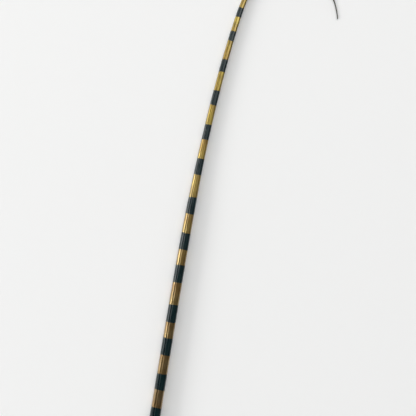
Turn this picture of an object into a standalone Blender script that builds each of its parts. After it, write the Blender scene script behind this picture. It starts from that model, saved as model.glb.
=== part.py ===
"""An ostrich feather stripped of its barbs: a bare shaft, dyed black, with gold bands painted round it.

The shaft lies on its side. Its bend is in the floor plane, with the feather's back on the outer
curve, and one flat side wall rests on z = 0. A place along the shaft is its distance from the
blunt lower end. Metres, +Z up, origin at the bottom centre of the bounding box.
"""

import math

import bmesh
import bpy
import numpy as np

MM = 0.001

# The shaft's line: straight, then bending a little more with every millimetre, then the crook.
LENGTH = 450 * MM
BASE_LEAN = math.radians(9.45)
BEND_START = 122 * MM
BEND_GROWTH = 6.0
CROOK_PLACE = 387 * MM
CROOK_RADIUS = 25 * MM
CROOK_RISE = 25 * MM
CROOK_EASE = 27 * MM
TIP_RADIUS = 43 * MM

# Depth from the back to the underside of the feather, as (place, depth) stations.
DEPTHS = (
    (2.2 * MM, 4.6 * MM),
    (12 * MM, 5.7 * MM),
    (30 * MM, 6.7 * MM),
    (52 * MM, 7.2 * MM),
    (74 * MM, 7.0 * MM),
    (126 * MM, 6.65 * MM),
    (170 * MM, 6.25 * MM),
    (213 * MM, 5.75 * MM),
    (248 * MM, 4.8 * MM),
    (283 * MM, 4.4 * MM),
    (319 * MM, 4.05 * MM),
    (355 * MM, 3.5 * MM),
    (400 * MM, 1.95 * MM),
    (438 * MM, 0.86 * MM),
    (450 * MM, 0.7 * MM),
)

# The calamus is as thick as it is deep, and the rachis is a little narrower.
RACHIS_THICKNESS = 0.92
RACHIS_START = 46 * MM
RACHIS_FULL = 62 * MM
TIP_ROUNDS_FROM = 365 * MM
TIP_ROUND_AT = 435 * MM
TIP_FLATNESS = 0.3

# Half of the rachis outline, from the back round one side to the ridge beside the groove:
# (share of half depth, share of half thickness). The dip is the seam that the barbs grew from.
RACHIS_OUTLINE = (
    (1.00, 0.00),
    (0.95, 0.33),
    (0.80, 0.63),
    (0.60, 0.85),
    (0.45, 0.93),
    (0.38, 0.87),
    (0.22, 0.87),
    (0.10, 1.00),
    (-0.50, 1.00),
    (-0.80, 0.86),
    (-0.98, 0.58),
    (-0.99, 0.36),
)
GROOVE_DEPTH = 0.13
NOTCH_PLACE = 57 * MM
NOTCH_LENGTH = 3 * MM
NOTCH_DEPTH = 0.17

# The hole in the calamus end, from its bottom out over the lip: (place, radius).
CALAMUS_MOUTH = (
    (3.0 * MM, 0.45 * MM),
    (2.5 * MM, 0.85 * MM),
    (0.8 * MM, 1.00 * MM),
    (0.15 * MM, 1.15 * MM),
    (0.0 * MM, 1.45 * MM),
    (0.35 * MM, 1.90 * MM),
    (1.1 * MM, 2.17 * MM),
)
# How the tip closes: (distance back from the very end, share of the section left).
TIP_END = ((0.28 * MM, 1.0), (0.09 * MM, 0.78), (0.0 * MM, 0.4))

# Painted bands and the plain gaps between them, from the calamus up.
FIRST_BAND = 56.5 * MM
BAND_LENGTHS = (12, 12, 12.5, 10.5, 15, 10.5, 13, 15.5, 13, 13.5, 13, 13, 10, 11, 9.5, 8.5, 7.5, 6.5, 5.5)
GAP_LENGTHS = (11.5, 10.5, 11.5, 11.5, 11.5, 11, 11, 10.5, 10, 9.5, 8.5, 6.5, 6.5, 6, 5.5, 5, 4.5, 4)

# Rings of the loft.
RING_STEP = 3.6 * MM
CROOK_FROM = 345 * MM
CROOK_RING_STEP = 2.1 * MM
LINE_STEP = 0.25 * MM
SMOOTH_ANGLE = math.radians(38)

DYED_KERATIN = {"base": (0.012, 0.016, 0.018), "metallic": 0.0, "roughness": 0.36}
GOLD_PAINT = {"base": (0.40, 0.24, 0.065), "metallic": 0.85, "roughness": 0.42}


def clear_scene():
    for old in list(bpy.data.objects):
        bpy.data.objects.remove(old, do_unlink=True)


def make_material(name, look):
    material = bpy.data.materials.new(name)
    material.use_nodes = True
    shader = material.node_tree.nodes["Principled BSDF"]
    shader.inputs["Base Color"].default_value = (*look["base"], 1.0)
    shader.inputs["Metallic"].default_value = look["metallic"]
    shader.inputs["Roughness"].default_value = look["roughness"]
    material.diffuse_color = (*look["base"], 1.0)
    return material


def ease(place, start, end):
    """0 before start, 1 after end, and smooth between."""
    share = np.clip((place - start) / (end - start), 0.0, 1.0)
    return share * share * (3 - 2 * share)


def depth_at(place):
    """The depth between its stations, on a curve that passes through them."""
    places, depths = np.array(DEPTHS).T
    slopes = np.gradient(depths, places)
    i = int(np.clip(np.searchsorted(places, place) - 1, 0, len(places) - 2))
    gap = places[i + 1] - places[i]
    t = float(np.clip((place - places[i]) / gap, 0.0, 1.0))
    start = (2 * t**3 - 3 * t**2 + 1) * depths[i] + (t**3 - 2 * t**2 + t) * gap * slopes[i]
    end = (3 * t**2 - 2 * t**3) * depths[i + 1] + (t**3 - t**2) * gap * slopes[i + 1]
    return start + end


def bend_at(place):
    """Curvature of the shaft's line, in turns of one radian per metre."""
    sweep = BEND_GROWTH * np.maximum(0.0, place - BEND_START)
    crook = 1 / CROOK_RADIUS
    rise = np.exp(-(((place - CROOK_PLACE) / CROOK_RISE) ** 2))
    fall = np.exp(-(((place - CROOK_PLACE) / CROOK_EASE) ** 2))
    below = sweep + (crook - sweep) * rise
    above = 1 / TIP_RADIUS + (crook - 1 / TIP_RADIUS) * fall
    return np.where(place < CROOK_PLACE, below, above)


def shaft_line():
    """Places along the line, with its x, y and lean from +Y towards +X at each."""
    places = np.linspace(0.0, LENGTH, round(LENGTH / LINE_STEP) + 1)
    step = places[1]

    def running_sum(rates):
        return np.concatenate([[0.0], np.cumsum((rates[1:] + rates[:-1]) / 2 * step)])

    lean = BASE_LEAN + running_sum(bend_at(places))
    return places, running_sum(np.sin(lean)), running_sum(np.cos(lean)), lean


def section_at(place):
    """The outline across the shaft, as (towards the back, to one side) offsets in metres."""
    half_depth = depth_at(place) / 2
    form = ease(place, RACHIS_START, RACHIS_FULL)
    half_side = half_depth * (1 - (1 - RACHIS_THICKNESS) * form)
    form *= 1 - (1 - TIP_FLATNESS) * ease(place, TIP_ROUNDS_FROM, TIP_ROUND_AT)
    notch = NOTCH_DEPTH * math.exp(-(((place - NOTCH_PLACE) / NOTCH_LENGTH) ** 2))
    half_outline = [*RACHIS_OUTLINE, (-1 + GROOVE_DEPTH + notch, 0.0)]
    side = []
    for i, (back, out) in enumerate(half_outline):
        angle = math.pi * i / (len(half_outline) - 1)
        round_back = math.cos(angle)
        round_out = math.sin(angle)
        u = half_depth * (round_back + form * (back - round_back))
        v = half_side * (round_out + form * (out - round_out))
        side.append((u, v))
    return side + [(u, -v) for u, v in side[-2:0:-1]]


def round_section(radius):
    count = 2 * len(RACHIS_OUTLINE)
    return [
        (radius * math.cos(math.tau * i / count), radius * math.sin(math.tau * i / count))
        for i in range(count)
    ]


def band_edges():
    """(start, end) of each painted band."""
    edges = []
    start = FIRST_BAND
    for length, gap in zip(BAND_LENGTHS, (*GAP_LENGTHS, 0)):
        edges.append((start, start + length * MM))
        start += (length + gap) * MM
    return edges


def ring_places():
    """Ring places from the calamus mouth to the tip, with one at every edge of a band."""
    stops = [DEPTHS[0][0], RACHIS_START]
    for band in band_edges():
        stops += band
    stops.append(LENGTH - TIP_END[0][0])
    places = []
    for start, end in zip(stops, stops[1:]):
        step = RING_STEP if start < CROOK_FROM else CROOK_RING_STEP
        count = max(1, math.ceil((end - start) / step - 0.01))
        places += [start + (end - start) * i / count for i in range(count)]
    return places


def all_sections():
    """(place, outline, height of the outline's centre) of every ring, in order."""
    mouth_height = DEPTHS[0][1] / 2
    rings = [(place, round_section(radius), mouth_height) for place, radius in CALAMUS_MOUTH]
    for place in ring_places():
        outline = section_at(place)
        rings.append((place, outline, max(v for _, v in outline)))
    tip = section_at(LENGTH)
    tip_height = max(v for _, v in tip)
    for back, share in TIP_END:
        rings.append((LENGTH - back, [(u * share, v * share) for u, v in tip], tip_height))
    return rings


def ring_points(place, outline, height, line):
    places, xs, ys, leans = line
    x = np.interp(place, places, xs)
    y = np.interp(place, places, ys)
    lean = np.interp(place, places, leans)
    return [(x - u * math.cos(lean), y + u * math.sin(lean), height + v) for u, v in outline]


def make_shaft(collection):
    """The whole shaft as one loft, with each painted band in its own material slot."""
    line = shaft_line()
    rings = all_sections()
    bands = band_edges()
    mesh = bmesh.new()
    loops = [
        [mesh.verts.new(point) for point in ring_points(place, outline, height, line)]
        for place, outline, height in rings
    ]
    for k, (lower, upper) in enumerate(zip(loops, loops[1:])):
        middle = (rings[k][0] + rings[k + 1][0]) / 2
        painted = any(start < middle < end for start, end in bands)
        for i in range(len(lower)):
            j = (i + 1) % len(lower)
            face = mesh.faces.new((lower[i], upper[i], upper[j], lower[j]))
            face.material_index = 1 if painted else 0
    mesh.faces.new(loops[0])
    mesh.faces.new(reversed(loops[-1]))
    low = [min(v.co[axis] for v in mesh.verts) for axis in range(3)]
    high = [max(v.co[axis] for v in mesh.verts) for axis in range(3)]
    centre = ((low[0] + high[0]) / 2, (low[1] + high[1]) / 2, low[2])
    bmesh.ops.translate(mesh, verts=mesh.verts, vec=[-c for c in centre])
    bmesh.ops.recalc_face_normals(mesh, faces=mesh.faces)

    data = bpy.data.meshes.new("feather_shaft")
    mesh.to_mesh(data)
    mesh.free()
    data.materials.append(make_material("black_dyed_keratin", DYED_KERATIN))
    data.materials.append(make_material("gold_paint", GOLD_PAINT))
    data.shade_smooth()
    data.set_sharp_from_angle(angle=SMOOTH_ANGLE)
    shaft = bpy.data.objects.new("feather_shaft", data)
    collection.objects.link(shaft)
    return shaft


def main():
    clear_scene()
    feather = bpy.data.collections.new("ostrich_feather")
    bpy.context.scene.collection.children.link(feather)
    make_shaft(feather)


main()
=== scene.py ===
# %% [markdown]
# # A stripped ostrich feather, dyed black and banded with gold
#
# A milliner's quill starts as an ostrich wing plume. Every barb is pulled off, the bare shaft is
# dyed, its end is curled with heat, and gold bands are painted round it between strips of tape.
# This lesson builds that shaft as one fine loft, gives it two materials, and lays it on a pale
# floor under soft light. It works in metres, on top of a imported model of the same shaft.

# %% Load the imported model
import math

import bpy
import numpy as np
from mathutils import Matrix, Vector, noise


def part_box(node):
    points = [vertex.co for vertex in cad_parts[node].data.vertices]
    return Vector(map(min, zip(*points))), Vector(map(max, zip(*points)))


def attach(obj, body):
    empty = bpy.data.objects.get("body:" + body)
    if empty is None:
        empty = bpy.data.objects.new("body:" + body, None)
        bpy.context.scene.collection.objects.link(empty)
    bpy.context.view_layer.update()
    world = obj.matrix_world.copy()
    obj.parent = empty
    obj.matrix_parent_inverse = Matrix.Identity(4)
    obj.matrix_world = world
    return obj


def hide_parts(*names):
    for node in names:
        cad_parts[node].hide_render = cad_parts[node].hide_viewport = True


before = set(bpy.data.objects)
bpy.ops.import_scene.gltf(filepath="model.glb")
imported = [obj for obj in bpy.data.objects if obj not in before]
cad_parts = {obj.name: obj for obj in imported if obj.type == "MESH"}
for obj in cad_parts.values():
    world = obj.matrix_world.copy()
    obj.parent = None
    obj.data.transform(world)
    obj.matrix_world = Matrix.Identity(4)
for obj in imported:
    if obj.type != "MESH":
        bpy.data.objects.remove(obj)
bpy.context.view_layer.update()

MM = 0.001
shaft_low, shaft_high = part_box("feather_shaft")
print("packed shaft, mm:", [round(side / MM, 1) for side in shaft_high - shaft_low])

# %% [markdown]
# ## The line that the shaft follows
#
# A drawn Bezier curve could follow the shaft, but its handles would say nothing about the feather.
# A feather's shaft is straight where it is thick and bends more and more towards its thin end, so
# it is easier to say how much it bends at each place and to add the bends up. The hook is a short
# stretch where the bend rises to a peak and then eases off towards the tip.

# %% Add up the bends
LENGTH = 450 * MM
BASE_LEAN = math.radians(9.45)
BEND_START = 122 * MM
# By how much the bend grows with each metre past its start, in radians a metre.
BEND_GROWTH = 6.0
CROOK_PLACE = 387 * MM
CROOK_RADIUS = 25 * MM
CROOK_RISE = 25 * MM
CROOK_EASE = 27 * MM
TIP_RADIUS = 43 * MM
LINE_STEP = 0.25 * MM


def bend_at(place):
    """How fast the line turns at a distance from the blunt end, in radians a metre."""
    sweep = BEND_GROWTH * np.maximum(0.0, place - BEND_START)
    rise = np.exp(-(((place - CROOK_PLACE) / CROOK_RISE) ** 2))
    fall = np.exp(-(((place - CROOK_PLACE) / CROOK_EASE) ** 2))
    below = sweep + (1 / CROOK_RADIUS - sweep) * rise
    above = 1 / TIP_RADIUS + (1 / CROOK_RADIUS - 1 / TIP_RADIUS) * fall
    return np.where(place < CROOK_PLACE, below, above)


def running_sum(rates):
    return np.concatenate([[0.0], np.cumsum((rates[1:] + rates[:-1]) / 2 * LINE_STEP)])


line_places = np.linspace(0.0, LENGTH, round(LENGTH / LINE_STEP) + 1)
line_leans = BASE_LEAN + running_sum(bend_at(line_places))
line_x = running_sum(np.sin(line_leans))
line_y = running_sum(np.cos(line_leans))
print("whole turn of the shaft, degrees:", round(math.degrees(line_leans[-1] - BASE_LEAN)))

# %% [markdown]
# ## How deep the shaft is, and what its cut end would show
#
# The lower end, the calamus, is a round tube that sat in the skin. Above it the rachis carried the
# barbs. It is rounded on the back, flat on the sides, and grooved underneath, with a shallow seam
# on each side where the barbs grew. So the loft needs two outlines that blend into each other, one
# round and one shaped, and a depth for each place. A curve object with a bevel can't change its
# outline on the way, which is why the rings are worked out in code.

# %% How deep the shaft is at each place
# A place along the shaft and the depth there, in millimetres.
DEPTH_STATIONS = np.array([
    (2.2, 4.6), (12, 5.7), (30, 6.7), (52, 7.2), (74, 7.0), (126, 6.65), (170, 6.25), (213, 5.75),
    (248, 4.8), (283, 4.4), (319, 4.05), (355, 3.5), (400, 1.95), (438, 0.86), (450, 0.7),
]) * MM


def ease(place, start, end):
    """0 before start, 1 after end, and smooth between."""
    share = np.clip((place - start) / (end - start), 0.0, 1.0)
    return share * share * (3 - 2 * share)


def depth_at(place):
    """The depth between its stations, on a curve that passes through them."""
    stations, depths = DEPTH_STATIONS.T
    slopes = np.gradient(depths, stations)
    i = int(np.clip(np.searchsorted(stations, place) - 1, 0, len(stations) - 2))
    gap = stations[i + 1] - stations[i]
    t = float(np.clip((place - stations[i]) / gap, 0.0, 1.0))
    start = (2 * t**3 - 3 * t**2 + 1) * depths[i] + (t**3 - 2 * t**2 + t) * gap * slopes[i]
    end = (3 * t**2 - 2 * t**3) * depths[i + 1] + (t**3 - t**2) * gap * slopes[i + 1]
    return start + end


print("depth at 74, 213 and 438 mm:", [round(depth_at(p * MM) / MM, 2) for p in (74, 213, 438)])

# %% Half of the rachis outline, from the back round one side to the groove
# Towards the back and to one side, as shares of half the depth and half the thickness.
RACHIS_OUTLINE = [
    (1.00, 0.00), (0.95, 0.33), (0.80, 0.63), (0.60, 0.85), (0.45, 0.93), (0.38, 0.87),
    (0.22, 0.87), (0.10, 1.00), (-0.50, 1.00), (-0.80, 0.86), (-0.98, 0.58), (-0.99, 0.36),
]
RACHIS_THICKNESS = 0.92
RACHIS_START = 46 * MM
RACHIS_FULL = 62 * MM
TIP_ROUNDS_FROM = 365 * MM
TIP_ROUND_AT = 435 * MM
TIP_FLATNESS = 0.3
GROOVE_DEPTH = 0.13
NOTCH_PLACE = 57 * MM
NOTCH_LENGTH = 3 * MM
NOTCH_DEPTH = 0.17


def half_side_at(place):
    rachis = ease(place, RACHIS_START, RACHIS_FULL)
    return depth_at(place) / 2 * (1 - (1 - RACHIS_THICKNESS) * rachis)


print("thickness at 74 mm:", round(2 * half_side_at(74 * MM) / MM, 2))

# %% [markdown]
# ## A finer outline from a coarse one
#
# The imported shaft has 24 corners round it. Close up they would show in the highlights, so a
# Catmull-Rom curve is drawn through them. A Subdivision modifier would also smooth them, but it
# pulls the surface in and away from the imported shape, while this curve passes through each corner.
# Where the curve would swing out past the flat side, it is held at the side.

# %% A curve through the corners
CORNER_STEPS = 3


def smooth_loop(corners):
    """A closed curve through the corners, with a few points for each of them."""
    before, after, next_after = (np.roll(corners, shift, axis=0) for shift in (1, -1, -2))
    points = []
    for step in range(CORNER_STEPS):
        t = step / CORNER_STEPS
        points.append(0.5 * (
            2 * corners
            + (after - before) * t
            + (2 * before - 5 * corners + 4 * after - next_after) * t**2
            + (3 * corners - before - 3 * after + next_after) * t**3
        ))
    return np.stack(points, axis=1).reshape(-1, 2)


square = np.array([(0, 0), (1, 0), (1, 1), (0, 1)])
print("a square's 4 corners become", len(smooth_loop(square)), "points")

# %% The outline at any place
def outline_at(place):
    """The outline across the shaft, as (towards the back, to one side) in metres."""
    half_depth = depth_at(place) / 2
    half_side = half_side_at(place)
    form = ease(place, RACHIS_START, RACHIS_FULL)
    form *= 1 - (1 - TIP_FLATNESS) * ease(place, TIP_ROUNDS_FROM, TIP_ROUND_AT)
    notch = NOTCH_DEPTH * math.exp(-(((place - NOTCH_PLACE) / NOTCH_LENGTH) ** 2))
    half = np.array([*RACHIS_OUTLINE, (-1 + GROOVE_DEPTH + notch, 0.0)])
    angles = np.linspace(0.0, math.pi, len(half))
    circle = np.stack([np.cos(angles), np.sin(angles)], axis=1)
    side = circle + form * (half - circle)
    corners = np.concatenate([side, side[-2:0:-1] * (1, -1)]) * (half_depth, half_side)
    widest = np.abs(corners).max(axis=0)
    return np.clip(smooth_loop(corners), -widest, widest)


POINTS_ROUND = len(outline_at(LENGTH / 2))
print("points round the shaft:", POINTS_ROUND)

# %% [markdown]
# ## Where the gold bands are
#
# The bands were masked and painted by hand, so no two are the same length, and both the bands and
# the gaps get shorter where the shaft gets thin. A texture of stripes could draw them, but then the
# edge of a band would be only as sharp as the texture. Here every edge is a ring of the mesh, and
# the faces between two edges take the gold material.

# %% Band edges, from the calamus up
FIRST_BAND = 56.5 * MM
# In millimetres, each band with the gap above it.
BAND_LENGTHS = [
    12, 12, 12.5, 10.5, 15, 10.5, 13, 15.5, 13, 13.5, 13, 13, 10, 11, 9.5, 8.5, 7.5, 6.5, 5.5,
]
GAP_LENGTHS = [
    11.5, 10.5, 11.5, 11.5, 11.5, 11, 11, 10.5, 10, 9.5, 8.5, 6.5, 6.5, 6, 5.5, 5, 4.5, 4, 0,
]

steps_up = np.cumsum(np.add(BAND_LENGTHS, GAP_LENGTHS))[:-1]
band_starts = FIRST_BAND + np.concatenate([[0.0], steps_up]) * MM
band_ends = band_starts + np.array(BAND_LENGTHS) * MM
band_edges = np.sort(np.concatenate([band_starts, band_ends]))


def is_gold(place):
    return bool(((band_starts < place) & (place < band_ends)).any())


bare_tip = LENGTH - band_ends[-1]
print(len(BAND_LENGTHS), "bands, the last ending", round(bare_tip / MM), "mm from the tip")

# %% [markdown]
# ## The rings of the loft
#
# Each ring is a place along the shaft and an outline. The open calamus end starts inside its hole,
# comes out over a rounded lip, and goes on as the shaft. The tip closes as a small dome. Rings are
# closer together in the hook, where a long step would show as a corner.

# %% The open end of the calamus
# From inside the hole out over the lip: a place and the radius there, in millimetres.
CALAMUS_MOUTH = np.array([
    (3.0, 0.45), (2.5, 0.85), (0.8, 1.00), (0.15, 1.15), (0.0, 1.45), (0.35, 1.90), (1.1, 2.17),
]) * MM
MOUTH_STEPS = 3

rings = []
mouth = np.concatenate([CALAMUS_MOUTH, [(DEPTH_STATIONS[0][0], DEPTH_STATIONS[0][1] / 2)]])
ring_angles = np.linspace(0.0, math.tau, POINTS_ROUND, endpoint=False)
for (place, radius), (next_place, next_radius) in zip(mouth, mouth[1:]):
    for share in np.linspace(0.0, 1.0, MOUTH_STEPS, endpoint=False):
        here = place + (next_place - place) * share
        size = radius + (next_radius - radius) * share
        rings.append((here, size * np.stack([np.cos(ring_angles), np.sin(ring_angles)], axis=1)))
print(len(rings), "rings round the hole and its lip")

# %% Rings from there to the tip
RING_STEP = 0.8 * MM
CROOK_FROM = 345 * MM
CROOK_RING_STEP = 0.6 * MM
# A stretch gets no further ring for a remainder of less than this share of a step.
STEP_SLACK = 0.01
TIP_DOME = 0.28 * MM
TIP_DOME_RINGS = 5

stops = [mouth[-1][0], RACHIS_START, *band_edges, LENGTH - TIP_DOME]
for start, end in zip(stops, stops[1:]):
    step = RING_STEP if start < CROOK_FROM else CROOK_RING_STEP
    ring_count = math.ceil((end - start) / step - STEP_SLACK)
    for place in np.linspace(start, end, ring_count, endpoint=False):
        rings.append((place, outline_at(place)))
for angle in np.linspace(0.0, math.pi / 2, TIP_DOME_RINGS, endpoint=False):
    rings.append((LENGTH - TIP_DOME * (1 - math.sin(angle)), outline_at(LENGTH) * math.cos(angle)))
print(len(rings), "rings in all")

# %% [markdown]
# ## Ribs and hand-taped edges
#
# Two things keep the surface from looking machined. Keratin grows in long fibres, so the shaft has
# faint ribs along it, a few hundredths of a millimetre deep, which break a highlight into streaks.
# And tape goes round by hand: the edge of a band is a little slanted, and it wanders where paint
# crept under the tape. Both are moves of the rings' own points, so they are in the mesh and not only
# in the shading. The rings beside an edge move along with it, by less and less.

# %% Sink the ribs
RIB_DEPTH = 0.05 * MM
RIB_LENGTH = 45 * MM
RIB_WIDTH = 0.9 * MM
# Where the shaft is thin, a rib is no deeper than this share of its radius.
RIB_SHARE = 0.02
ring_places = np.array([place for place, _ in rings])
outlines = np.array([outline for _, outline in rings])
radii = np.linalg.norm(outlines, axis=2)


def rib_at(place, u, v):
    """From 0 to 1, how far a fibre sinks at a point of the straightened shaft."""
    sample = Vector((place / RIB_LENGTH, u / RIB_WIDTH, v / RIB_WIDTH))
    return 0.5 + 0.5 * noise.noise(sample)


sunk = np.array([
    [rib_at(place, u, v) for u, v in outline] for place, outline in zip(ring_places, outlines)
]) * np.minimum(RIB_DEPTH, radii * RIB_SHARE)
outlines = outlines * (1 - sunk / radii)[:, :, None]
print("ribs up to", round(sunk.max() / MM, 3), "mm deep")

# %% Slant the taped edges
EDGE_WANDER = 0.14 * MM
EDGE_SLANT = 0.45 * MM
EDGE_REACH = 2.4 * MM
# The shaft must be at least this deep for an edge to be off by the full amount.
FULL_EDGE_DEPTH = 5 * MM
# Where in the noise the two slants are drawn, and how far on for each millimetre along the shaft.
SLANT_DRAW = (0.5, 0.5)
LEAN_DRAW = (9.5, 0.5)
DRAW_STEP = 1.7
# Creep is read on a circle in the noise, so that it meets itself after one turn round the shaft.
CREEP_CIRCLE = 2


def edge_shift(edge, angle):
    """How far the tape sat from its mark at one point round the shaft."""
    size = min(1.0, depth_at(edge) / FULL_EDGE_DEPTH)
    slant = noise.noise(Vector((*SLANT_DRAW, DRAW_STEP * edge / MM))) * math.cos(angle)
    lean = noise.noise(Vector((*LEAN_DRAW, DRAW_STEP * edge / MM))) * math.sin(angle)
    circle = (CREEP_CIRCLE * math.cos(angle), CREEP_CIRCLE * math.sin(angle))
    creep = noise.noise(Vector((*circle, edge / MM)))
    return size * (EDGE_SLANT * (slant + lean) + EDGE_WANDER * creep)


point_places = np.repeat(ring_places[:, None], POINTS_ROUND, axis=1)
for edge in band_edges:
    shifts = np.array([edge_shift(edge, angle) for angle in ring_angles])
    nearness = np.clip(1 - np.abs(ring_places - edge) / EDGE_REACH, 0.0, 1.0)
    point_places += nearness[:, None] * shifts
moves = np.abs(point_places - ring_places[:, None])
print("edges moved by up to", round(moves.max() / MM, 2), "mm")

# %% [markdown]
# ## The loft itself
#
# A point's offset towards the back turns with the line, and its offset to one side is straight up
# or down, because the shaft lies on its side with its bend in the floor. Each ring is lifted until
# it just touches the floor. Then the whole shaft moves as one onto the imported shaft's box.

# %% Bend the straight shaft into place
heights = -outlines[:, :, 1].min(axis=1)


def bent(places, u, v, height):
    """Points in metres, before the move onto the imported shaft."""
    leans = np.interp(places, line_places, line_leans)
    x = np.interp(places, line_places, line_x) - u * np.cos(leans)
    y = np.interp(places, line_places, line_y) + u * np.sin(leans)
    return np.stack([x, y, height + v], axis=-1)


shaft_points = bent(point_places, outlines[:, :, 0], outlines[:, :, 1], heights[:, None])
middle = (shaft_points.min(axis=(0, 1)) + shaft_points.max(axis=(0, 1))) / 2
packed_middle = (shaft_low + shaft_high) / 2
shift = np.array([packed_middle.x - middle[0], packed_middle.y - middle[1], shaft_low.z])
shaft_points = shaft_points + shift
print("moved by, mm:", np.round(shift / MM, 2))

# %% [markdown]
# ## Faces and what the materials need to know
#
# Every square of four points is a face. Two facts are stored on the points for the materials: where
# the point lies on the straightened shaft, so that a pattern can run along the bend, and how far it
# is from the nearest edge of a band. Attributes hold them, and no texture coordinates are needed.

# %% Faces of the shaft
count = len(rings)
index = np.arange(count * POINTS_ROUND).reshape(count, POINTS_ROUND)
lower, upper = index[:-1], index[1:]
squares = np.stack([lower, upper, np.roll(upper, -1, axis=1), np.roll(lower, -1, axis=1)], axis=-1)
faces = squares[:, :, ::-1].reshape(-1, 4).tolist()
faces.append(index[0].tolist())
faces.append(index[-1][::-1].tolist())
shaft_mesh = bpy.data.meshes.new("painted_feather_shaft")
shaft_mesh.from_pydata(shaft_points.reshape(-1, 3).tolist(), [], faces)

ring_middles = (ring_places[1:] + ring_places[:-1]) / 2
slots = np.repeat([1 if is_gold(place) else 0 for place in ring_middles], POINTS_ROUND)
shaft_mesh.polygons.foreach_set("material_index", np.append(slots, [0, 0]).astype(np.int32))
shaft_mesh.shade_smooth()
print(len(faces), "faces,", int(slots.sum()), "of them gold")

# %% Facts for the materials
def store_paint_facts(mesh, places, u, v):
    """Each point's place on the straightened shaft and distance from an edge, in millimetres."""
    straight = mesh.attributes.new("straight_mm", "FLOAT_VECTOR", "POINT")
    straight.data.foreach_set("vector", (np.stack([places, u, v], axis=-1) / MM).ravel())
    nearest = np.abs(places.ravel()[:, None] - band_edges).min(axis=1)
    edge = mesh.attributes.new("edge_mm", "FLOAT", "POINT")
    edge.data.foreach_set("value", nearest / MM)


marks = np.repeat(ring_places[:, None], POINTS_ROUND, axis=1)
store_paint_facts(shaft_mesh, marks, outlines[:, :, 0], outlines[:, :, 1])
shaft = bpy.data.objects.new("painted_feather_shaft", shaft_mesh)
bpy.context.scene.collection.objects.link(shaft)
print("facts on the points:", [a.name for a in shaft_mesh.attributes if a.name.endswith("_mm")])

# %% [markdown]
# ## What is left of the barbs
#
# Pulling a barb off leaves a torn root in the seam, one or two to a millimetre. They are too small to
# see from a step away and easy to feel with a fingertip. Each is a low stump of eight sides that
# leans towards the tip, as the barb did. An Array modifier would set them out like beads, all alike,
# so a seeded random draw picks the size, place and gap of each one.

# %% One torn root
ROOT_SIDES = 8
ROOT_ALONG = (0.12 * MM, 0.27 * MM)
ROOT_ACROSS = (0.06 * MM, 0.13 * MM)
ROOT_STRAY = 0.07 * MM
# These three are shares of half the shaft's thickness or depth.
ROOT_HEIGHT = (0.015, 0.075)
SEAM_OUT = 0.865
SEAM_BACK = 0.30
# The rings of a stump: how high, how wide, and how far it leans over.
STUMP_LEVELS = ((-0.15, 1.0, 0.0), (0.6, 0.85, 0.5), (1.0, 0.45, 0.9))
# Roots are full size where half the shaft's depth is this much.
FULL_HALF_DEPTH = 3.3 * MM
ROOT_SEED = 7
draw = np.random.default_rng(ROOT_SEED)


def root_stump(place, side):
    """One root's points, ring by ring: (place along the shaft, towards the back, to one side)."""
    half_depth = depth_at(place) / 2
    half_side = half_side_at(place)
    size = half_depth / FULL_HALF_DEPTH
    along = draw.uniform(*ROOT_ALONG) * size
    across = draw.uniform(*ROOT_ACROSS) * size
    tall = draw.uniform(*ROOT_HEIGHT) * half_side
    middle_u = SEAM_BACK * half_depth + draw.uniform(-ROOT_STRAY, ROOT_STRAY) * size
    points = []
    for level, width, lean in STUMP_LEVELS:
        for angle in np.linspace(0.0, math.tau, ROOT_SIDES, endpoint=False):
            at = place + along * (width * math.cos(angle) + lean)
            u = middle_u + across * width * math.sin(angle)
            points.append((at, u, side * (SEAM_OUT * half_side + tall * level)))
    return points


top_ring = (len(STUMP_LEVELS) - 1) * ROOT_SIDES
stump_faces = [
    tuple(range(ROOT_SIDES)),
    tuple(range(top_ring + ROOT_SIDES - 1, top_ring - 1, -1)),
]
for a in range(top_ring):
    b = a + 1 if (a + 1) % ROOT_SIDES else a + 1 - ROOT_SIDES
    stump_faces.append((a, a + ROOT_SIDES, b + ROOT_SIDES, b))
print("a root has", len(stump_faces), "faces")

# %% Roots along both seams
ROOTS_FROM = 60 * MM
ROOTS_TO = 436 * MM
ROOT_GAPS = (0.45 * MM, 1.05 * MM)
# Roots stand closer where the shaft is thin, down to this share of the full gap.
CLOSEST_GAP = 0.4

root_facts = []
root_heights = []
root_faces = []
root_slots = []
for side in (1, -1):
    place = ROOTS_FROM
    while place < ROOTS_TO:
        first = len(root_facts)
        root_facts += root_stump(place, side)
        root_heights += [np.interp(place, ring_places, heights)] * (len(root_facts) - first)
        root_faces += [tuple(first + k for k in face)[::side] for face in stump_faces]
        root_slots += [1 if is_gold(place) else 0] * len(stump_faces)
        size = depth_at(place) / 2 / FULL_HALF_DEPTH
        place += draw.uniform(*ROOT_GAPS) * (CLOSEST_GAP + (1 - CLOSEST_GAP) * size)

root_places, root_u, root_v = np.array(root_facts).T
root_points = bent(root_places, root_u, root_v, np.array(root_heights)) + shift
root_mesh = bpy.data.meshes.new("torn_barb_roots")
root_mesh.from_pydata(root_points.tolist(), [], root_faces)
root_mesh.polygons.foreach_set("material_index", np.array(root_slots, np.int32))
root_mesh.shade_smooth()
store_paint_facts(root_mesh, root_places, root_u, root_v)
roots = bpy.data.objects.new("torn_barb_roots", root_mesh)
bpy.context.scene.collection.objects.link(roots)
print(len(root_slots) // len(stump_faces), "barb roots")

# %% [markdown]
# ## Helpers for the materials
#
# Colours are picked as hex values, as on a paint chart, but Cycles mixes light in linear values. One
# function turns the first into the second. Another adds a node and fills its inputs, each with a
# number, a hex colour or the output of another node, so that a material reads from top to bottom.

# %% Colours
def linear(hex_colour):
    """An sRGB hex value such as #C9A24B as linear red, green, blue and alpha."""
    values = [int(hex_colour[i:i + 2], 16) / 255 for i in (1, 3, 5)]
    return (*[v / 12.92 if v <= 0.04045 else ((v + 0.055) / 1.055) ** 2.4 for v in values], 1.0)


print("#C9A24B in linear:", [round(v, 3) for v in linear("#C9A24B")])

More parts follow.
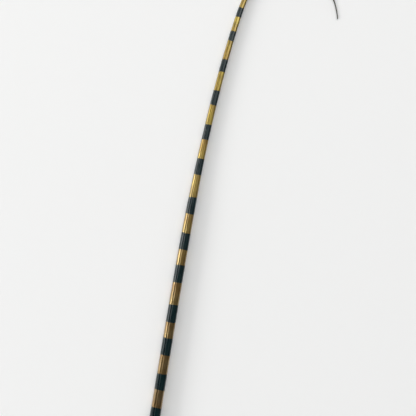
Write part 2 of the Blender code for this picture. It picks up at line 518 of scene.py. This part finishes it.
# %% Nodes
def fill_inputs(node, inputs):
    """Each value is a number, a hex colour or the output of another node."""
    for name, value in inputs.items():
        if isinstance(value, bpy.types.NodeSocket):
            node.id_data.links.new(value, node.inputs[name])
        else:
            node.inputs[name].default_value = linear(value) if isinstance(value, str) else value


def add_node(tree, kind, inputs, **settings):
    node = tree.nodes.new(kind)
    for name, value in settings.items():
        setattr(node, name, value)
    fill_inputs(node, inputs)
    return node


# A Mix node has a factor and two inputs for each type of data. These are the ones for colour.
SHARE, FIRST, SECOND = 0, 6, 7
MIXED = 2
print("a Mix node takes its colours at inputs", FIRST, "and", SECOND)

# %% [markdown]
# ## A pattern that runs along the shaft
#
# Keratin fibres and brush strokes both run along the shaft, so both materials need noise that is long
# one way and fine the other. Noise stretched in world space would cut across the bend. Here it is
# read at the point's place on the straightened shaft, divided by the size of a patch in millimetres.

# %% Noise along the shaft
# Noise is seldom outside the first of these ranges. The narrower second one gives more contrast.
WHOLE_NOISE = (0.30, 0.70)
CLEAR_NOISE = (0.35, 0.65)


def noise_along(tree, straight, along_mm, across_mm, detail=2.0):
    """Noise drawn out along the shaft."""
    stretched = add_node(tree, "ShaderNodeVectorMath", {
        0: straight, 1: (1 / along_mm, 1 / across_mm, 1 / across_mm),
    }, operation="MULTIPLY")
    grain = add_node(tree, "ShaderNodeTexNoise", {
        "Vector": stretched.outputs[0], "Scale": 1.0, "Detail": detail, "Roughness": 0.55,
    })
    return grain.outputs["Fac"]


print("noise is taken to run from", WHOLE_NOISE[0], "to", WHOLE_NOISE[1])

# %% [markdown]
# ## Black-dyed keratin
#
# A feather's shaft is keratin, the stuff of horn and nails, with an IOR of about 1.55. Dye goes into
# it and leaves the surface alone, so it stays a satin horn: near black, a touch green-blue, with
# paler streaks where the fibres took less dye and a soft sheen broken up by the ribs. The tip is as
# thin as a bristle. It takes up less dye, and the light shining through it is painted into its
# colour, so it is drawn paler and browner.

# %% Dyed keratin: its patterns
# Each patch's length and width.
FIBRE_MM = (16.0, 0.30)
CLOUD_MM = (9.0, 2.2)
# A real keratin fibre is under 0.05 mm wide. It is drawn several times as wide, so that it shows.
FINE_FIBRE_MM = (8.0, 0.16)

keratin = bpy.data.materials.new("keratin_dyed_black_satin")
keratin.use_nodes = True
tree = keratin.node_tree
straight = add_node(tree, "ShaderNodeAttribute", {}, attribute_name="straight_mm").outputs["Vector"]
along_shaft = add_node(tree, "ShaderNodeSeparateXYZ", {"Vector": straight}).outputs["X"]
fibres = noise_along(tree, straight, *FIBRE_MM)
clouds = noise_along(tree, straight, *CLOUD_MM)
fine = noise_along(tree, straight, *FINE_FIBRE_MM, detail=1.0)
print(keratin.name, "has", len(tree.nodes), "nodes so far")

# %% Dyed keratin: its colour
STREAK_NOISE = (0.52, 0.72)
STREAK_SHARE = 0.8
TIP_PALES_MM = (405.0, 440.0)
TIP_PALENESS = 0.6

cloud_share = add_node(tree, "ShaderNodeMapRange", {
    "Value": clouds, "From Min": CLEAR_NOISE[0], "From Max": CLEAR_NOISE[1],
})
dye = add_node(tree, "ShaderNodeMix", {
    SHARE: cloud_share.outputs[0], FIRST: "#02171A", SECOND: "#071F21",
}, data_type="RGBA")
streak_share = add_node(tree, "ShaderNodeMapRange", {
    "Value": fibres, "From Min": STREAK_NOISE[0], "From Max": STREAK_NOISE[1],
    "To Max": STREAK_SHARE,
})
streaked = add_node(tree, "ShaderNodeMix", {
    SHARE: streak_share.outputs[0], FIRST: dye.outputs[MIXED], SECOND: "#1A2B29",
}, data_type="RGBA")
# The paler, browner tip: partly less dye, partly painted light shining through the thin keratin.
paleness = add_node(tree, "ShaderNodeMapRange", {
    "Value": along_shaft, "From Min": TIP_PALES_MM[0], "From Max": TIP_PALES_MM[1],
    "To Max": TIP_PALENESS,
})
dye_and_painted_tip_light = add_node(tree, "ShaderNodeMix", {
    SHARE: paleness.outputs[0], FIRST: streaked.outputs[MIXED], SECOND: "#5A564C",
}, data_type="RGBA")
print(keratin.name, "has", len(tree.nodes), "nodes so far")

# %% Dyed keratin: its finish
KERATIN_IOR = 1.55
# Dye dries on the surface as a dull film, so it mirrors less than the clean horn's 0.5.
DYE_FILM = 0.36
SATIN_ROUGHNESS = (0.21, 0.34)
KERATIN_RELIEF = 0.03 * MM
RELIEF_STRENGTH = 0.5

satin = add_node(tree, "ShaderNodeMapRange", {
    "Value": fibres, "From Min": WHOLE_NOISE[0], "From Max": WHOLE_NOISE[1],
    "To Min": SATIN_ROUGHNESS[0], "To Max": SATIN_ROUGHNESS[1],
})
relief = add_node(tree, "ShaderNodeBump", {
    "Height": fine, "Strength": RELIEF_STRENGTH, "Distance": KERATIN_RELIEF,
})
fill_inputs(tree.nodes["Principled BSDF"], {
    "Base Color": dye_and_painted_tip_light.outputs[MIXED],
    "Roughness": satin.outputs[0],
    "Normal": relief.outputs["Normal"],
    "IOR": KERATIN_IOR,
    "Specular IOR Level": DYE_FILM,
})
print(keratin.name, "has", len(tree.nodes), "nodes")

# %% [markdown]
# ## Gold paint, brushed on
#
# Metallic craft paint is fine brass flake in a clear binder. The flakes lie nearly flat but not
# quite, so the paint shines like metal and still spreads its highlight wide. A single metal shader
# would tint every reflection brown. The binder has a shine of its own, and that is white, which is
# why the bright side of a band looks pale and the shaded side brown. So the flake is a rough metal
# and the binder is the shader's coat layer over it.

# %% Gold paint: its patterns
# Where one load of the brush ends and the next begins.
PATCH_MM = (7.0, 2.6)
# A hair of the brush leaves a line about 0.1 mm wide. It is drawn wider, so that it shows.
BRUSH_MM = (11.0, 0.42)
# About the length of a band, and wider than the shaft, so that a band has one tone all round.
BAND_MM = (14.0, 60.0)

gold = bpy.data.materials.new("gold_flake_paint_brushed")
gold.use_nodes = True
tree = gold.node_tree
straight = add_node(tree, "ShaderNodeAttribute", {}, attribute_name="straight_mm").outputs["Vector"]
along_shaft = add_node(tree, "ShaderNodeSeparateXYZ", {"Vector": straight}).outputs["X"]
from_edge = add_node(tree, "ShaderNodeAttribute", {}, attribute_name="edge_mm").outputs["Fac"]
patches = noise_along(tree, straight, *PATCH_MM)
brush = noise_along(tree, straight, *BRUSH_MM)
bands = noise_along(tree, straight, *BAND_MM, detail=0.0)
print(gold.name, "has", len(tree.nodes), "nodes so far")

# %% [markdown]
# ## Why one gold isn't enough
#
# The bands were painted one after another with the same brush. Towards the thick end the gold is
# painted greyer and browner, as painted shade and a dull painted reflection, fading towards the tip.
# One band may be a little browner than the next. The brush leaves streaks along the shaft, and along
# a taped edge a little of the black shows through. The painted shade is the first mix, and each of
# the rest is one more mix over the last, in the order of the real layers.

# %% Gold paint: its colour
# Between these places, in millimetres, the painted shade and dull painted reflection at the thick end
# fade into the plain yellow gold.
PAINTED_SHADE_FADES_MM = (80.0, 290.0)
THIN_EDGE_MM = 0.3

uneven = add_node(tree, "ShaderNodeMapRange", {
    "Value": patches, "From Min": CLEAR_NOISE[0], "From Max": CLEAR_NOISE[1],
})
# Greyer, browner gold at the thick end: painted shade and a dull painted reflection, not a thinner
# coat.
gold_with_painted_shade = add_node(tree, "ShaderNodeMix", {
    SHARE: uneven.outputs[0], FIRST: "#8F7750", SECOND: "#A88D65",
}, data_type="RGBA")
plain_yellow_gold = add_node(tree, "ShaderNodeMix", {
    SHARE: uneven.outputs[0], FIRST: "#856F21", SECOND: "#A38D2D",
}, data_type="RGBA")
painted_shade_fade = add_node(tree, "ShaderNodeMapRange", {
    "Value": along_shaft, "From Min": PAINTED_SHADE_FADES_MM[0], "From Max": PAINTED_SHADE_FADES_MM[1],
})
coat = add_node(tree, "ShaderNodeMix", {
    SHARE: painted_shade_fade.outputs[0], FIRST: gold_with_painted_shade.outputs[MIXED], SECOND: plain_yellow_gold.outputs[MIXED],
}, data_type="RGBA").outputs[MIXED]

# Each layer: what drives it, from and to which value, how much of it there is then, and its colour.
for driver, low, high, share_low, share_high, colour in (
    (bands, 0.42, 0.62, 0.0, 0.45, "#82591F"),
    (brush, 0.50, 0.75, 0.0, 0.6, "#533E1E"),
    (from_edge, 0.0, THIN_EDGE_MM, 0.6, 0.0, "#2A241A"),
):
    share = add_node(tree, "ShaderNodeMapRange", {
        "Value": driver, "From Min": low, "From Max": high,
        "To Min": share_low, "To Max": share_high,
    })
    coat = add_node(tree, "ShaderNodeMix", {
        SHARE: share.outputs[0], FIRST: coat, SECOND: colour,
    }, data_type="RGBA").outputs[MIXED]
print(gold.name, "has", len(tree.nodes), "nodes so far")

# %% Gold paint: its finish
FLAKE_METALLIC = 0.9
FLAKE_ROUGHNESS = (0.27, 0.39)
BINDER_IOR = 1.5
BINDER_ROUGHNESS = 0.22
BRUSH_RELIEF = 0.04 * MM

flake = add_node(tree, "ShaderNodeMapRange", {
    "Value": brush, "From Min": WHOLE_NOISE[0], "From Max": WHOLE_NOISE[1],
    "To Min": FLAKE_ROUGHNESS[0], "To Max": FLAKE_ROUGHNESS[1],
})
relief = add_node(tree, "ShaderNodeBump", {
    "Height": brush, "Strength": RELIEF_STRENGTH, "Distance": BRUSH_RELIEF,
})
fill_inputs(tree.nodes["Principled BSDF"], {
    "Base Color": coat,
    "Roughness": flake.outputs[0],
    "Normal": relief.outputs["Normal"],
    "Metallic": FLAKE_METALLIC,
    "Coat Weight": 1.0,
    "Coat Roughness": BINDER_ROUGHNESS,
    "Coat IOR": BINDER_IOR,
})
print(gold.name, "has", len(tree.nodes), "nodes")

# %% [markdown]
# ## Put the two materials on, and tie the pieces to the model
#
# Slot 0 is keratin and slot 1 is paint, as the faces were numbered. The fine shaft stands for the
# packed one, which stays in the physics model but isn't shown. Both pieces ride on the one body.

# %% Dress the pieces
for piece in (shaft, roots):
    piece.data.materials.append(keratin)
    piece.data.materials.append(gold)
    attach(piece, "root")
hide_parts("feather_shaft")
print("materials on each piece:", [m.name for m in shaft.data.materials])

# %% [markdown]
# ## Floor
#
# The feather lies on a plain pale table. A matt white with a trace of warmth keeps the edges of the
# shaft clear, and a very faint mottle keeps it from looking like empty space.

# %% Pale floor
FLOOR_SIDE = 40.0
# The floor is a hair lower than the shaft, so that no two faces lie in one plane.
FLOOR_GAP = 0.1 * MM
# About how wide a patch of the mottle is, in metres.
MOTTLE_PATCH = 4 / 3
MATT_ROUGHNESS = 0.9

bpy.ops.mesh.primitive_plane_add(size=FLOOR_SIDE, location=(0.0, 0.0, -FLOOR_GAP))
floor = bpy.context.object
floor.name = "pale_floor"
floor_paint = bpy.data.materials.new("matt_white_table")
floor_paint.use_nodes = True
tree = floor_paint.node_tree
mottle = add_node(tree, "ShaderNodeTexNoise", {"Scale": FLOOR_SIDE / MOTTLE_PATCH, "Detail": 3.0})
mottle_share = add_node(tree, "ShaderNodeMapRange", {
    "Value": mottle.outputs["Fac"], "From Min": WHOLE_NOISE[0], "From Max": WHOLE_NOISE[1],
})
tint = add_node(tree, "ShaderNodeMix", {
    SHARE: mottle_share.outputs[0], FIRST: "#F6F5F3", SECOND: "#F9F8F6",
}, data_type="RGBA")
fill_inputs(tree.nodes["Principled BSDF"], {
    "Base Color": tint.outputs[MIXED], "Roughness": MATT_ROUGHNESS,
})
floor.data.materials.append(floor_paint)
print("floor", FLOOR_SIDE, "m square,", FLOOR_GAP / MM, "mm under the shaft")

# %% [markdown]
# ## Light
#
# Paint with flake in it needs something bright to reflect and something dark beside it, so the
# brightness can't come evenly from above. Most of it comes from far off beyond the tip, where a
# whole side of the sky is bright like a wall of windows. It lights the table alike all over, and it
# is wide rather than strong, so that the gold keeps its colour where it mirrors it. A softbox high
# above the tip end is mirrored by the flat wall of the upper shaft and little by the rest. A low one
# on the left draws a bright line along the rounded back. Both stand some metres off, so that their
# pools of light on the table have no edge near the feather. The sky overhead is almost dark, and the
# rest of it is pale only at its rim.

# %% Softboxes
def add_softbox(name, location, aim, energy, size):
    lamp = bpy.data.lights.new(name, "AREA")
    lamp.energy = energy
    lamp.size = size
    holder = bpy.data.objects.new(name, lamp)
    holder.location = location
    holder.rotation_euler = (Vector(aim) - Vector(location)).to_track_quat("-Z", "Y").to_euler()
    holder.visible_camera = False
    bpy.context.scene.collection.objects.link(holder)


# Energies are in watts, and places and sizes in metres.
add_softbox(
    "tip_softbox", location=(0.50, 1.22, 3.00), aim=(0.0, 0.05, 0.0), energy=29.0, size=1.5,
)
add_softbox(
    "left_softbox", location=(-2.75, 0.55, 1.05), aim=(0.0, 0.0, 0.0), energy=42.5, size=0.875,
)
print("lamps:", [lamp.name for lamp in bpy.data.lights])

# %% Sky
# Three strengths, and where each fades: Z is 0 at the horizon and 1 overhead, and Y is 1 straight
# beyond the tip.
SKY_OVERHEAD = 0.02
SKY_RIM = 0.90
RIM_FADES_Z = (0.02, 0.14)
WINDOWS = 2.75
WINDOWS_RISE_Y = (0.25, 0.60)
WINDOWS_FADE_Z = (0.78, 0.86)

sky = bpy.data.worlds.new("studio_sky")
sky.use_nodes = True
tree = sky.node_tree
direction = add_node(tree, "ShaderNodeTexCoord", {}).outputs["Generated"]
parts = add_node(tree, "ShaderNodeSeparateXYZ", {"Vector": direction}).outputs
rim = add_node(tree, "ShaderNodeMapRange", {
    "Value": parts["Z"], "From Min": RIM_FADES_Z[0], "From Max": RIM_FADES_Z[1],
    "To Min": SKY_RIM, "To Max": SKY_OVERHEAD,
})
beyond_tip = add_node(tree, "ShaderNodeMapRange", {
    "Value": parts["Y"], "From Min": WINDOWS_RISE_Y[0], "From Max": WINDOWS_RISE_Y[1],
    "To Max": WINDOWS,
})
below_top = add_node(tree, "ShaderNodeMapRange", {
    "Value": parts["Z"], "From Min": WINDOWS_FADE_Z[0], "From Max": WINDOWS_FADE_Z[1],
    "To Min": 1.0, "To Max": 0.0,
})
windows = add_node(tree, "ShaderNodeMath", {
    0: beyond_tip.outputs[0], 1: below_top.outputs[0],
}, operation="MULTIPLY")
strength = add_node(tree, "ShaderNodeMath", {
    0: rim.outputs[0], 1: windows.outputs[0],
}, operation="ADD")
fill_inputs(tree.nodes["Background"], {"Color": "#F2F4F6", "Strength": strength.outputs[0]})
bpy.context.scene.world = sky
bpy.context.scene.view_settings.view_transform = "Standard"
print("sky:", WINDOWS, "beyond the tip,", SKY_RIM, "at the rim,", SKY_OVERHEAD, "overhead")

# %% [markdown]
# ## Camera
#
# The picture was taken square to the shaft, so the camera looks straight down at it where it lies.
# The picture's frame is 416 pixels across and a pixel is 0.66 mm at the shaft. One known point joins
# the two: the shaft crosses the picture's bottom edge at pixel 155, 74 mm above its blunt end.

# %% Look straight down
# The picture's side, and where the shaft crosses its bottom edge, in pixels.
PICTURE = 416
CROSSING = (155.0, 416.0)
PIXEL = 0.66 * MM
CROSSING_PLACE = 74 * MM
# In millimetres, as a camera's maker gives them.
LENS = 85.0
SENSOR = 36.0

known = bent(np.array(CROSSING_PLACE), 0.0, 0.0, 0.0) + shift
across = known[0] + (PICTURE / 2 - CROSSING[0]) * PIXEL
up = known[1] + (CROSSING[1] - PICTURE / 2) * PIXEL
shaft_level = depth_at(CROSSING_PLACE) / 2
lens_height = shaft_level + PICTURE * PIXEL * LENS / SENSOR
camera_data = bpy.data.cameras.new("camera")
camera_data.lens = LENS
camera_data.sensor_width = SENSOR
camera = bpy.data.objects.new("camera", camera_data)
camera.location = (across, up, lens_height)
bpy.context.scene.collection.objects.link(camera)
bpy.context.scene.camera = camera
print("camera at", [round(c, 3) for c in camera.location])
